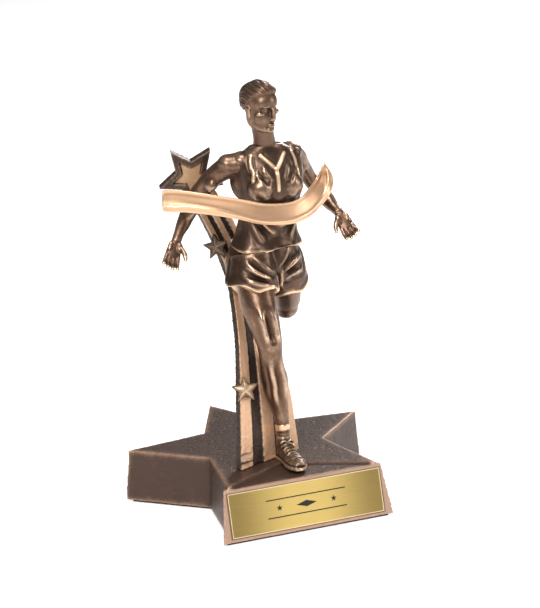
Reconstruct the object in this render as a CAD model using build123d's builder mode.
"""Figure trophy: a runner breaking the finish tape, on a five-pointed star base.

Frame: millimetres, +Z up, the figure and its plate face -Y, and the origin is at the
centre of the star on the resting face. The trophy is a set of resin castings that are
pinned and glued together, with a metal plate in front and felt under the base.
"""
import os
from math import cos, radians, sin

from build123d import *

# ---------------------------------------------------------------- driving dimensions (mm)
# Base casting
STAR_TIP_RADIUS = 67.0
STAR_NOTCH_RADIUS = 33.0
STAR_DRAFT = 0.9
FELT_THICKNESS = 1.2
FELT_MARGIN = 1.6
BASE_TOP = 27.6
BLOCK_STEP = 1.4
BLOCK_TOP_WIDTH = 85.0
BLOCK_BOTTOM_WIDTH = 92.0
BLOCK_TOP_FRONT = 55.0
BLOCK_BOTTOM_FRONT = 61.5
BLOCK_TAIL_WIDTH = 56.0
BLOCK_TAIL_OVERLAP = 4.0

# Plate and its adhesive
PLATE_WIDTH = 81.5
PLATE_HEIGHT = 22.0
PLATE_THICKNESS = 0.9
PLATE_CORNER = 0.8
PLATE_STANDS_PROUD = 0.35
PLATE_RECESS_GAP = 0.3
ADHESIVE_THICKNESS = 0.5
ADHESIVE_MARGIN = 2.0

# Pins: diameter of each kind, and the radial gap that its glue fills
ROD_DIAMETER = 2.4
DOWEL_DIAMETER = 3.0
SMALL_PIN_DIAMETER = 1.6
GLUE_GAP = 0.05
ROD_BASE_DEPTH = 14.0
TRAIL_DOWEL_DEPTH = 6.0

# Figure: its height above the base; the tables below are drawn for FIGURE_DRAWN
FIGURE_HEIGHT = 190.4
FIGURE_DRAWN = 190.4

# Shooting-star tail
TRAIL_THICKNESS = 3.0
TRAIL_STRIPES = 3
STRIPE_SHARE = 0.21
GAP_SHARE = 0.18
STRIPE_HEIGHT = 0.8
TRAIL_EDGE_ANGLE = 22.0

# Stars on the tail
BIG_STAR_RADIUS = 17.0
BIG_STAR_NOTCH = 8.0
BIG_STAR_THICKNESS = 5.4
BIG_STAR_RIM = 3.0
BIG_STAR_RECESS = 1.5
SMALL_STAR_RADIUS = 6.8
SMALL_STAR_NOTCH = 3.2
SMALL_STAR_THICKNESS = 3.4

# Ribbon
TAPE_WIDTH = 10.5
TAPE_THICKNESS = 1.3

# Shoe
SHOE_LENGTH = 27.0
SHOE_WIDTH = 10.4
SHOE_HEIGHT = 9.5

# Sizes that follow from the ones above
STAR_POINTS = 5
BLOCK_HEIGHT = BASE_TOP - BLOCK_STEP
BLOCK_DROP = BLOCK_HEIGHT - FELT_THICKNESS
FIGURE_SCALE = FIGURE_HEIGHT / FIGURE_DRAWN
PLATE_SLOPE_RUN = BLOCK_BOTTOM_FRONT - BLOCK_TOP_FRONT
os.makedirs("parts", exist_ok=True)


def star_points(tip_radius, notch_radius, first_tip_angle=90.0):
    """Corner points of a regular star, tips and notches in turn."""
    points = []
    for index in range(2 * STAR_POINTS):
        radius = tip_radius if index % 2 == 0 else notch_radius
        angle = radians(first_tip_angle + index * 180.0 / STAR_POINTS)
        points.append((radius * cos(angle), radius * sin(angle)))
    return points


def place(point):
    """A point of the figure, drawn above the base's top, in the trophy's own frame."""
    return Vector(*point) * FIGURE_SCALE + Vector(0, 0, BASE_TOP)


def limb(sections):
    """Loft a limb through ellipses: each is (centre, axis direction, half width, half depth).

    The half width is measured across the body (towards +X) and the half depth square
    to it. Everything is drawn above the base's top, like the rest of the figure.
    """
    rings = []
    for centre, axis, half_width, half_depth in sections:
        across = Vector(1, 0, 0)
        along = Vector(*axis).normalized()
        across = (across - along * across.dot(along)).normalized()
        with BuildSketch(Plane(origin=place(centre), x_dir=across, z_dir=along)) as ring:
            Ellipse(half_width * FIGURE_SCALE, half_depth * FIGURE_SCALE)
        rings.append(ring.sketch)
    loft(rings, ruled=True)


def pin_between(start, end, diameter):
    """A round pin from one point of the figure to another."""
    run = place(end) - place(start)
    with BuildSketch(Plane(origin=place(start), z_dir=run)) as disc:
        Circle(diameter / 2)
    extrude(disc.sketch, amount=run.length)


def finish(piece, label):
    """Label a finished piece and write it to its own file."""
    piece.part.label = label
    export_step(piece.part, f"parts/{label}.step")
    print(f"{label}: {len(piece.part.solids())} solid(s), {piece.part.volume:.0f} mm3")


# ---------------------------------------------------------------- pins inside the castings
ROD_FOOT = (3.0, -30.5, -ROD_BASE_DEPTH)
ROD_TOP = (-0.9, -26.0, 40.0)
WAIST_PIN = ((6.0, -8.0, 103.0), (6.0, -8.0, 119.0))
NECK_PIN = ((5.0, -11.5, 147.0), (2.5, -14.0, 168.0))
HIP_PINS = (
    ((-5.8, -18.0, 85.0), (-3.5, -11.5, 101.0)),
    ((16.5, -3.0, 79.0), (12.5, -8.5, 100.0)),
)
SHOULDER_PINS = (
    ((-16.5, -5.5, 146.5), (-4.0, -10.0, 149.5)),
    ((25.0, -5.2, 147.0), (12.5, -10.0, 150.5)),
)
TAPE_PEGS = (
    ((-1.0, -28.0, 125.6), (-1.0, -18.0, 126.2)),
    ((12.5, -27.4, 125.9), (12.5, -18.0, 126.4)),
)

with BuildPart() as leg_rod:
    pin_between(ROD_FOOT, ROD_TOP, ROD_DIAMETER)

with BuildPart() as waist_dowel:
    pin_between(*WAIST_PIN, DOWEL_DIAMETER)

with BuildPart() as neck_dowel:
    pin_between(*NECK_PIN, DOWEL_DIAMETER)

with BuildPart() as hip_dowels:
    for hip_start, hip_end in HIP_PINS:
        pin_between(hip_start, hip_end, DOWEL_DIAMETER)

with BuildPart() as shoulder_dowels:
    for shoulder_start, shoulder_end in SHOULDER_PINS:
        pin_between(shoulder_start, shoulder_end, DOWEL_DIAMETER)


def drill(pins, diameter):
    """Sockets for pins in the piece being built, wider than the pins by the glue gap."""
    for start, end in pins:
        run = place(end) - place(start)
        with BuildSketch(Plane(origin=place(start), z_dir=run)) as disc:
            Circle(diameter / 2 + GLUE_GAP)
        extrude(disc.sketch, amount=run.length, mode=Mode.SUBTRACT)


# ---------------------------------------------------------------- shooting-star tail
# Each station is the middle of the tail's front face, the direction it runs there, the
# direction across it, and its width.
TRAIL_ACROSS = (cos(radians(TRAIL_EDGE_ANGLE)), sin(radians(TRAIL_EDGE_ANGLE)), 0.0)
TRAIL_STATIONS = (
    ((-5.9, -27.6, 0.0), (0, 0, 1), TRAIL_ACROSS, 42.0),
    ((-4.8, -21.5, 31.0), (0, 0.22, 1), TRAIL_ACROSS, 35.0),
    ((-4.8, -15.0, 58.0), (0.02, 0.42, 1), TRAIL_ACROSS, 26.0),
    ((-3.4, -0.3, 82.0), (0.0, 0.58, 1), TRAIL_ACROSS, 20.0),
    ((-5.3, 7.2, 94.0), (-0.25, 0.48, 1), TRAIL_ACROSS, 17.0),
    ((-9.5, 10.5, 108.0), (-0.6, 0.25, 1), (0.9, 0.25, 0.4), 15.5),
    ((-17.9, 14.6, 127.0), (-0.85, 0.2, 1), (0.78, 0.14, 0.6), 14.0),
    ((-24.2, 17.8, 137.0), (-0.85, 0.2, 1), (0.76, 0.1, 0.62), 12.5),
)
TRAIL_PINS = (
    ((-15.0, -29.2, -TRAIL_DOWEL_DEPTH), (-15.0, -29.2, TRAIL_DOWEL_DEPTH)),
    ((7.0, -20.2, -TRAIL_DOWEL_DEPTH), (7.0, -20.2, TRAIL_DOWEL_DEPTH)),
)


def trail_profile(width):
    """Section of the tail: a flat bar with raised stripes on its front."""
    stripe = STRIPE_SHARE * width
    pitch = stripe + GAP_SHARE * width
    outer = width / 2
    points = [(-outer, TRAIL_THICKNESS)]
    for index in range(TRAIL_STRIPES):
        left = -outer + index * pitch
        if index:
            points.append((left, 0))
        points.append((left, -STRIPE_HEIGHT))
        points.append((left + stripe, -STRIPE_HEIGHT))
        if index < TRAIL_STRIPES - 1:
            points.append((left + stripe, 0))
    points.append((-outer + (TRAIL_STRIPES - 1) * pitch + stripe, TRAIL_THICKNESS))
    return points


with BuildPart() as trail_dowels:
    for trail_start, trail_end in TRAIL_PINS:
        pin_between(trail_start, trail_end, SMALL_PIN_DIAMETER)

with BuildPart() as star_trail:
    for middle, along, across, trail_width in TRAIL_STATIONS:
        with BuildSketch(Plane(origin=place(middle), x_dir=across, z_dir=along)):
            with BuildLine():
                Polyline(*trail_profile(trail_width * FIGURE_SCALE), close=True)
            make_face()
    loft(ruled=True)
    drill(TRAIL_PINS, SMALL_PIN_DIAMETER)

# ---------------------------------------------------------------- stars on the tail
# Each star: middle of its back face above the base, the way across it, the way it faces
BIG_STAR_PLANE = Plane(
    origin=place((-23.6, 18.4, 139.6)), x_dir=(0.95, -0.29, 0.0), z_dir=(-0.29, -0.95, -0.12)
)
LOWER_STAR_PLANE = Plane(
    origin=place((-17.0, -25.6, 38.6)), x_dir=(0.95, -0.3, 0.0), z_dir=(-0.3, -0.95, 0.1)
)
MIDDLE_STAR_PLANE = Plane(
    origin=place((-15.2, 8.0, 103.4)), x_dir=(0.8, -0.6, 0.0), z_dir=(-0.6, -0.8, 0.1)
)
BIG_STAR_TURN = 126.0
LOWER_STAR_TURN = 94.0
MIDDLE_STAR_TURN = 100.0
STAR_PIN_DEPTH = 2.4


def star_pin(plane, thickness):
    """The pin that runs from the middle of a star back into the tail."""
    with BuildSketch(plane.offset(-STAR_PIN_DEPTH)) as disc:
        Circle(SMALL_PIN_DIAMETER / 2)
    extrude(disc.sketch, amount=STAR_PIN_DEPTH + thickness / 2)


def drill_for_star_pin(plane, thickness):
    """The socket of a star's pin, wider than the pin by the glue gap."""
    with BuildSketch(plane.offset(-STAR_PIN_DEPTH)) as disc:
        Circle(SMALL_PIN_DIAMETER / 2 + GLUE_GAP)
    extrude(disc.sketch, amount=STAR_PIN_DEPTH + thickness / 2, mode=Mode.SUBTRACT)


STARS = (
    (BIG_STAR_PLANE, BIG_STAR_RADIUS, BIG_STAR_NOTCH, BIG_STAR_THICKNESS, BIG_STAR_TURN),
    (LOWER_STAR_PLANE, SMALL_STAR_RADIUS, SMALL_STAR_NOTCH, SMALL_STAR_THICKNESS, LOWER_STAR_TURN),
    (MIDDLE_STAR_PLANE, SMALL_STAR_RADIUS, SMALL_STAR_NOTCH, SMALL_STAR_THICKNESS, MIDDLE_STAR_TURN),
)

with BuildPart() as star_dowels:
    for star_plane, _, _, star_thickness, _ in STARS:
        star_pin(star_plane, star_thickness)


def star_casting(plane, tip_radius, notch_radius, thickness, turn, mode=Mode.ADD):
    """A thick star standing on a plane."""
    with BuildSketch(plane) as outline:
        Polygon(*star_points(tip_radius, notch_radius, turn), align=None)
    extrude(outline.sketch, amount=thickness, mode=mode)


with BuildPart() as big_star:
    star_casting(*STARS[0])
    with BuildSketch(BIG_STAR_PLANE.offset(BIG_STAR_THICKNESS - BIG_STAR_RECESS)):
        Polygon(*star_points(BIG_STAR_RADIUS, BIG_STAR_NOTCH, BIG_STAR_TURN), align=None)
        offset(amount=-BIG_STAR_RIM, kind=Kind.INTERSECTION)
    extrude(amount=BIG_STAR_RECESS, mode=Mode.SUBTRACT)
    drill_for_star_pin(BIG_STAR_PLANE, BIG_STAR_THICKNESS)

with BuildPart() as small_star_lower:
    star_casting(*STARS[1])
    drill_for_star_pin(LOWER_STAR_PLANE, SMALL_STAR_THICKNESS)

with BuildPart() as small_star_middle:
    star_casting(*STARS[2])
    drill_for_star_pin(MIDDLE_STAR_PLANE, SMALL_STAR_THICKNESS)

# The tail is cut back where its stars and their pins seat on it
with star_trail:
    for star in STARS:
        star_casting(*star, mode=Mode.SUBTRACT)
        drill_for_star_pin(star[0], star[3])

# ---------------------------------------------------------------- base, felt and plate
BLOCK_NOSE_TOP = ((-BLOCK_TOP_WIDTH / 2, -BLOCK_TOP_FRONT), (BLOCK_TOP_WIDTH / 2, -BLOCK_TOP_FRONT))
BLOCK_NOSE_BOTTOM = (
    (-BLOCK_BOTTOM_WIDTH / 2, -BLOCK_BOTTOM_FRONT),
    (BLOCK_BOTTOM_WIDTH / 2, -BLOCK_BOTTOM_FRONT),
)
BLOCK_TAIL_Y = BLOCK_TAIL_OVERLAP - STAR_NOTCH_RADIUS
BLOCK_TAIL = ((BLOCK_TAIL_WIDTH / 2, BLOCK_TAIL_Y), (-BLOCK_TAIL_WIDTH / 2, BLOCK_TAIL_Y))
STAR_EDGE_DISTANCE = (
    STAR_TIP_RADIUS * STAR_NOTCH_RADIUS * sin(radians(180.0 / STAR_POINTS))
    / Vector(STAR_TIP_RADIUS - STAR_NOTCH_RADIUS * cos(radians(180.0 / STAR_POINTS)),
             STAR_NOTCH_RADIUS * sin(radians(180.0 / STAR_POINTS)), 0).length
)
STAR_BOTTOM_SCALE = 1 + STAR_DRAFT / STAR_EDGE_DISTANCE

FACE_NORMAL = Vector(0, -BLOCK_DROP, PLATE_SLOPE_RUN).normalized()
FACE_MIDDLE = Vector(0, -(BLOCK_TOP_FRONT + BLOCK_BOTTOM_FRONT) / 2, FELT_THICKNESS + BLOCK_DROP / 2)
FACE_PLANE = Plane(origin=FACE_MIDDLE, x_dir=(1, 0, 0), z_dir=FACE_NORMAL)
RECESS_DEPTH = PLATE_THICKNESS + ADHESIVE_THICKNESS - PLATE_STANDS_PROUD

with BuildPart() as felt_pad:
    with BuildSketch():
        Polygon(*star_points(STAR_TIP_RADIUS * STAR_BOTTOM_SCALE, STAR_NOTCH_RADIUS * STAR_BOTTOM_SCALE),
                align=None)
        Polygon(*BLOCK_NOSE_BOTTOM, *BLOCK_TAIL, align=None)
        offset(amount=-FELT_MARGIN, kind=Kind.INTERSECTION)
    extrude(amount=FELT_THICKNESS)

with BuildPart() as plate_adhesive:
    with BuildSketch(FACE_PLANE.offset(-RECESS_DEPTH)):
        Rectangle(PLATE_WIDTH - 2 * ADHESIVE_MARGIN, PLATE_HEIGHT - 2 * ADHESIVE_MARGIN)
    extrude(amount=ADHESIVE_THICKNESS)

with BuildPart() as name_plate:
    with BuildSketch(FACE_PLANE.offset(PLATE_STANDS_PROUD - PLATE_THICKNESS)):
        RectangleRounded(PLATE_WIDTH, PLATE_HEIGHT, PLATE_CORNER)
    extrude(amount=PLATE_THICKNESS)

with BuildPart() as star_base:
    with BuildSketch(Plane.XY.offset(FELT_THICKNESS)):
        Polygon(*star_points(STAR_TIP_RADIUS * STAR_BOTTOM_SCALE, STAR_NOTCH_RADIUS * STAR_BOTTOM_SCALE),
                align=None)
    with BuildSketch(Plane.XY.offset(BASE_TOP)):
        Polygon(*star_points(STAR_TIP_RADIUS, STAR_NOTCH_RADIUS), align=None)
    loft(ruled=True)
    with BuildSketch(Plane.XY.offset(FELT_THICKNESS)):
        Polygon(*BLOCK_NOSE_BOTTOM, *BLOCK_TAIL, align=None)
    with BuildSketch(Plane.XY.offset(BLOCK_HEIGHT)):
        Polygon(*BLOCK_NOSE_TOP, *BLOCK_TAIL, align=None)
    loft(ruled=True)
    with BuildSketch(FACE_PLANE.offset(-RECESS_DEPTH)):
        RectangleRounded(PLATE_WIDTH + 2 * PLATE_RECESS_GAP, PLATE_HEIGHT + 2 * PLATE_RECESS_GAP,
                         PLATE_CORNER + PLATE_RECESS_GAP)
    extrude(amount=2 * RECESS_DEPTH, mode=Mode.SUBTRACT)
    drill([(ROD_FOOT, ROD_TOP)], ROD_DIAMETER)
    drill(TRAIL_PINS, SMALL_PIN_DIAMETER)

# ---------------------------------------------------------------- running shoes
SHOE_SECTIONS = (
    # height, middle in front of the heel, half width, half length: shares of the shoe's sizes
    (0.0, 0.500, 0.50, 0.500),
    (0.22, 0.505, 0.50, 0.495),
    (0.34, 0.495, 0.45, 0.470),
    (0.60, 0.360, 0.42, 0.330),
    (0.85, 0.220, 0.37, 0.205),
    (1.20, 0.170, 0.36, 0.165),
)


def shoe(ground):
    """A running shoe on a ground plane whose origin is the heel and whose +Y is the way to the toe."""
    rings = []
    for height, middle, half_width, half_length in SHOE_SECTIONS:
        with BuildSketch(ground.offset(height * SHOE_HEIGHT)) as ring:
            with Locations((0, middle * SHOE_LENGTH)):
                Ellipse(half_width * SHOE_WIDTH, half_length * SHOE_LENGTH)
        rings.append(ring.sketch)
    loft(rings, ruled=True)


STANDING_GROUND = Plane(origin=place((1.2, -24.5, 0.0)), x_dir=(-1, 0, 0), z_dir=(0, 0, 1))
TRAILING_FOOT_UP = Vector(0.0, -0.90, -0.35).normalized()
TRAILING_TOES = Vector(0.05, 0.36, -0.93)
TRAILING_TOES = (TRAILING_TOES - TRAILING_FOOT_UP * TRAILING_TOES.dot(TRAILING_FOOT_UP)).normalized()
TRAILING_GROUND = Plane(
    origin=place((22.3, 54.2, 98.6)),
    x_dir=TRAILING_TOES.cross(TRAILING_FOOT_UP),
    z_dir=TRAILING_FOOT_UP,
)

# ---------------------------------------------------------------- legs
STANDING_LEG = (
    ((1.4, -29.0, 10.0), (0, 0, 1), 3.2, 3.7),
    ((1.35, -28.6, 15.0), (-0.03, 0.1, 1), 3.7, 4.1),
    ((0.8, -27.0, 24.4), (-0.05, 0.1, 1), 4.4, 5.0),
    ((-0.7, -26.0, 38.0), (-0.1, 0, 1), 6.3, 6.8),
    ((-2.0, -26.2, 46.0), (-0.15, -0.1, 1), 6.6, 7.0),
    ((-3.4, -28.0, 55.5), (-0.12, -0.1, 1), 6.3, 6.5),
    ((-4.0, -28.3, 61.0), (-0.12, 0.1, 1), 6.7, 6.9),
    ((-5.6, -25.0, 71.7), (-0.08, 0.4, 1), 7.8, 8.2),
    ((-6.3, -20.0, 81.3), (0, 0.4, 1), 9.0, 9.0),
    ((-5.4, -15.8, 90.5), (0.1, 0.4, 1), 9.0, 8.8),
)
TRAILING_THIGH = (
    ((13.2, -8.5, 93.0), (0.25, 0.5, -1), 9.0, 9.2),
    ((17.2, -1.0, 80.0), (0.25, 0.6, -1), 8.4, 8.8),
    ((20.6, 6.0, 70.5), (0.22, 0.75, -1), 7.0, 7.4),
)
TRAILING_KNEE = (21.2, 8.4, 67.2)
KNEE_RADIUS = 7.0
TRAILING_SHIN = (
    ((21.3, 10.5, 68.2), (0.03, 0.9, 0.5), 6.0, 6.4),
    ((21.6, 19.0, 73.5), (0.03, 0.85, 0.52), 6.4, 6.9),
    ((22.0, 28.0, 79.3), (0.03, 0.85, 0.55), 5.6, 6.2),
    ((22.3, 37.0, 85.5), (0.03, 0.8, 0.6), 4.0, 4.4),
    ((22.5, 43.5, 90.6), (0.03, 0.8, 0.6), 3.6, 3.9),
)

with BuildPart() as standing_leg:
    limb(STANDING_LEG)
    add(star_trail.part, mode=Mode.SUBTRACT)
    drill([(ROD_FOOT, ROD_TOP)], ROD_DIAMETER)
    drill(HIP_PINS[:1], DOWEL_DIAMETER)

with BuildPart() as standing_shoe:
    shoe(STANDING_GROUND)
    add(standing_leg.part, mode=Mode.SUBTRACT)
    add(star_trail.part, mode=Mode.SUBTRACT)
    drill([(ROD_FOOT, ROD_TOP)], ROD_DIAMETER)

SHOE_PIN = ((22.25, 34.0, 83.6), (22.5, 48.0, 93.2))

with BuildPart() as shoe_dowel:
    pin_between(*SHOE_PIN, SMALL_PIN_DIAMETER)

with BuildPart() as trailing_leg:
    limb(TRAILING_THIGH)
    with Locations(place(TRAILING_KNEE)):
        Sphere(KNEE_RADIUS * FIGURE_SCALE)
    limb(TRAILING_SHIN)
    add(standing_leg.part, mode=Mode.SUBTRACT)
    drill(HIP_PINS[1:], DOWEL_DIAMETER)
    drill([SHOE_PIN], SMALL_PIN_DIAMETER)

with BuildPart() as trailing_shoe:
    shoe(TRAILING_GROUND)
    add(trailing_leg.part, mode=Mode.SUBTRACT)
    drill([SHOE_PIN], SMALL_PIN_DIAMETER)

# ---------------------------------------------------------------- shorts and singlet
SHORTS_BODY = (
    ((3.4, -9.5, 88.0), (0, 0, 1), 19.0, 12.5),
    ((2.8, -9.5, 95.0), (0, 0, 1), 20.0, 13.5),
    ((3.0, -9.0, 102.0), (0, 0, 1), 19.0, 13.5),
    ((4.0, -8.0, 108.5), (0, 0, 1), 17.0, 12.2),
    ((5.0, -7.6, 114.0), (0, 0, 1), 15.6, 10.8),
)
SHORTS_RIGHT_LEG = (
    ((-4.2, -12.5, 101.0), (0.05, 0.3, 1), 12.3, 13.5),
    ((-5.6, -15.6, 93.0), (0.05, 0.3, 1), 12.8, 13.8),
    ((-7.6, -18.5, 85.5), (0.05, 0.3, 1), 12.8, 12.6),
)
SHORTS_LEFT_LEG = (
    ((13.0, -9.0, 99.0), (-0.2, -0.3, 1), 11.5, 12.0),
    ((17.0, -5.5, 83.5), (-0.2, -0.3, 1), 11.2, 11.6),
)
TORSO_BODY = (
    ((4.2, -9.6, 106.5), (0, 0.05, 1), 16.8, 13.8),
    ((5.0, -9.4, 114.0), (0, 0.05, 1), 16.2, 13.2),
    ((6.2, -10.6, 122.0), (0, -0.1, 1), 15.8, 13.8),
    ((6.2, -11.8, 131.0), (0, -0.1, 1), 16.4, 14.6),
    ((6.6, -12.8, 139.5), (0, 0.0, 1), 17.4, 15.2),
    ((6.6, -12.0, 147.0), (0, 0.15, 1), 17.2, 12.6),
    ((5.4, -11.0, 153.5), (0, 0.2, 1), 15.5, 8.6),
    ((4.6, -11.6, 158.0), (0, 0.1, 1), 7.4, 6.6),
)

with BuildPart() as torso_blank:
    limb(TORSO_BODY)

# ---------------------------------------------------------------- arms and hands
RIGHT_ARM = (
    ((-6.0, -9.5, 149.0), (-1, 0.4, -0.45), 6.6, 6.0),
    ((-11.5, -7.5, 147.8), (-1, 0.55, -0.6), 6.6, 6.0),
    ((-16.5, -3.5, 144.5), (-1, 0.85, -0.9), 5.6, 5.4),
    ((-20.8, 2.0, 139.0), (-1, 1.0, -1.1), 5.0, 5.0),
    ((-24.6, 6.6, 133.0), (-1, 0.5, -1.2), 4.3, 4.3),
    ((-28.4, 6.6, 126.5), (-1, -0.4, -1.2), 4.4, 4.5),
    ((-33.4, 3.8, 120.0), (-1, -0.6, -1.1), 4.0, 4.2),
    ((-39.0, -0.2, 113.6), (-0.9, -0.6, -1.1), 2.9, 2.7),
    ((-41.8, -2.4, 110.2), (-0.8, -0.6, -1.1), 2.8, 2.3),
    ((-44.3, -4.6, 106.6), (-0.7, -0.6, -1.1), 4.1, 2.3),
    ((-46.4, -6.8, 102.8), (-0.5, -0.6, -1.1), 3.8, 2.0),
    ((-48.0, -9.8, 98.4), (-0.3, -0.8, -1.1), 2.6, 1.4),
)
RIGHT_THUMB = (
    ((-43.4, -4.2, 107.6), (-1, -0.8, -0.4), 1.6, 1.5),
    ((-48.6, -7.8, 105.4), (-0.7, -0.6, -0.6), 1.2, 1.1),
)
LEFT_ARM = (
    ((14.5, -9.8, 151.0), (1, 0.4, -0.4), 6.2, 5.7),
    ((18.5, -8.4, 150.5), (1, 0.6, -0.7), 6.3, 5.9),
    ((24.0, -4.5, 146.5), (1, 0.9, -1.2), 5.5, 5.3),
    ((29.5, 1.0, 140.0), (1, 0.9, -1.4), 4.8, 4.9),
    ((35.0, 4.5, 132.0), (0.9, 0.3, -1.3), 4.2, 4.3),
    ((39.0, 3.0, 126.6), (0.5, -0.9, -1.0), 4.3, 4.3),
    ((40.6, -3.4, 122.4), (0.2, -1.2, -0.7), 4.1, 4.1),
    ((41.8, -9.2, 119.2), (0.15, -1.2, -0.6), 2.9, 2.8),
    ((42.6, -12.9, 117.5), (0.15, -1.1, -0.7), 2.6, 2.5),
    ((43.6, -16.4, 115.0), (0.15, -0.9, -0.9), 3.9, 2.3),
    ((44.6, -19.8, 111.8), (0.1, -0.8, -1.1), 3.8, 2.0),
    ((45.4, -23.0, 107.4), (0.1, -0.6, -1.1), 2.6, 1.4),
)
LEFT_THUMB = (
    ((42.4, -15.4, 115.6), (-0.9, -0.9, -0.3), 1.6, 1.5),
    ((39.4, -20.0, 113.2), (-0.5, -0.9, -0.9), 1.2, 1.1),
)

with BuildPart() as right_arm:
    limb(RIGHT_ARM)
    limb(RIGHT_THUMB)
    drill(SHOULDER_PINS[:1], DOWEL_DIAMETER)

with BuildPart() as left_arm:
    limb(LEFT_ARM)
    limb(LEFT_THUMB)
    drill(SHOULDER_PINS[1:], DOWEL_DIAMETER)

# ---------------------------------------------------------------- head
HEAD_AND_NECK = (
    ((4.7, -11.5, 154.5), (-0.05, -0.2, 1), 5.6, 5.6),
    ((4.0, -12.8, 161.0), (-0.1, -0.25, 1), 5.0, 5.4),
    ((2.8, -14.6, 165.8), (-0.08, -0.1, 1), 5.4, 7.0),
    ((2.0, -15.4, 170.5), (0, 0, 1), 7.4, 9.6),
    ((1.4, -15.2, 177.0), (0, 0, 1), 9.0, 11.0),
    ((1.2, -14.8, 183.0), (0, 0, 1), 9.4, 11.2),
    ((1.2, -14.6, 187.6), (0, 0, 1), 7.6, 9.2),
    ((1.2, -14.6, 190.4), (0, 0, 1), 3.6, 4.6),
)

with BuildPart() as head:
    limb(HEAD_AND_NECK)
    drill([NECK_PIN], DOWEL_DIAMETER)

# ---------------------------------------------------------------- finish tape
# Each station: middle of the ribbon, the way it runs, the way its width stands.
TAPE_STATIONS = (
    ((-49.4, -10.0, 135.6), (1, -0.55, 0.05), (0.1, 0.1, 1)),
    ((-39.2, -16.5, 135.9), (1, -0.65, -0.02), (0, 0, 1)),
    ((-27.3, -22.6, 134.2), (1, -0.45, -0.25), (0, -0.1, 1)),
    ((-15.2, -26.6, 130.0), (1, -0.25, -0.32), (0, -0.1, 1)),
    ((-3.8, -28.4, 126.2), (1, -0.1, -0.18), (0, 0, 1)),
    ((9.6, -28.0, 125.6), (1, 0.1, 0.06), (0, 0.1, 1)),
    ((18.5, -25.6, 127.4), (1, 0.4, 0.3), (0, 0.1, 1)),
    ((26.0, -21.2, 129.4), (1, 0.6, 0.6), (-0.25, 0.2, 1)),
    ((31.6, -17.4, 132.8), (0.8, 0.6, 0.9), (-0.65, 0.25, 0.7)),
    ((34.4, -15.2, 136.6), (0.35, 0.4, 1.2), (-0.95, 0.3, 0.2)),
    ((35.0, -14.0, 140.4), (0.1, 0.3, 1.2), (-1, 0.3, 0.1)),
)

with BuildPart() as finish_tape:
    for middle, along, width_way in TAPE_STATIONS:
        tape_run = Vector(*along).normalized()
        tape_up = Vector(*width_way)
        tape_up = (tape_up - tape_run * tape_up.dot(tape_run)).normalized()
        with BuildSketch(Plane(origin=place(middle), x_dir=tape_up, z_dir=tape_run)):
            Rectangle(TAPE_WIDTH, TAPE_THICKNESS)
    loft(ruled=True)
    drill(TAPE_PEGS, SMALL_PIN_DIAMETER)

with BuildPart() as tape_pegs:
    for peg_start, peg_end in TAPE_PEGS:
        pin_between(peg_start, peg_end, SMALL_PIN_DIAMETER)

# ---------------------------------------------------------------- castings that seat on others
with BuildPart() as torso:
    add(torso_blank.part)
    add(right_arm.part, mode=Mode.SUBTRACT)
    add(left_arm.part, mode=Mode.SUBTRACT)
    add(head.part, mode=Mode.SUBTRACT)
    add(finish_tape.part, mode=Mode.SUBTRACT)
    drill([WAIST_PIN, NECK_PIN], DOWEL_DIAMETER)
    drill(SHOULDER_PINS, DOWEL_DIAMETER)
    drill(TAPE_PEGS, SMALL_PIN_DIAMETER)

with BuildPart() as shorts:
    limb(SHORTS_BODY)
    limb(SHORTS_RIGHT_LEG)
    limb(SHORTS_LEFT_LEG)
    add(torso_blank.part, mode=Mode.SUBTRACT)
    add(standing_leg.part, mode=Mode.SUBTRACT)
    add(trailing_leg.part, mode=Mode.SUBTRACT)
    add(star_trail.part, mode=Mode.SUBTRACT)
    drill([WAIST_PIN], DOWEL_DIAMETER)
    drill(HIP_PINS, DOWEL_DIAMETER)

# ---------------------------------------------------------------- write every piece
PIECES = (
    (felt_pad, "felt_pad"),
    (star_base, "star_base"),
    (plate_adhesive, "plate_adhesive"),
    (name_plate, "name_plate"),
    (leg_rod, "leg_rod"),
    (waist_dowel, "waist_dowel"),
    (neck_dowel, "neck_dowel"),
    (hip_dowels, "hip_dowels"),
    (shoulder_dowels, "shoulder_dowels"),
    (trail_dowels, "trail_dowels"),
    (star_dowels, "star_dowels"),
    (shoe_dowel, "shoe_dowel"),
    (tape_pegs, "tape_pegs"),
    (star_trail, "star_trail"),
    (big_star, "big_star"),
    (small_star_lower, "small_star_lower"),
    (small_star_middle, "small_star_middle"),
    (standing_shoe, "standing_shoe"),
    (standing_leg, "standing_leg"),
    (trailing_leg, "trailing_leg"),
    (trailing_shoe, "trailing_shoe"),
    (shorts, "shorts"),
    (torso, "torso"),
    (right_arm, "right_arm"),
    (left_arm, "left_arm"),
    (head, "head"),
    (finish_tape, "finish_tape"),
)
for piece, label in PIECES:
    finish(piece, label)
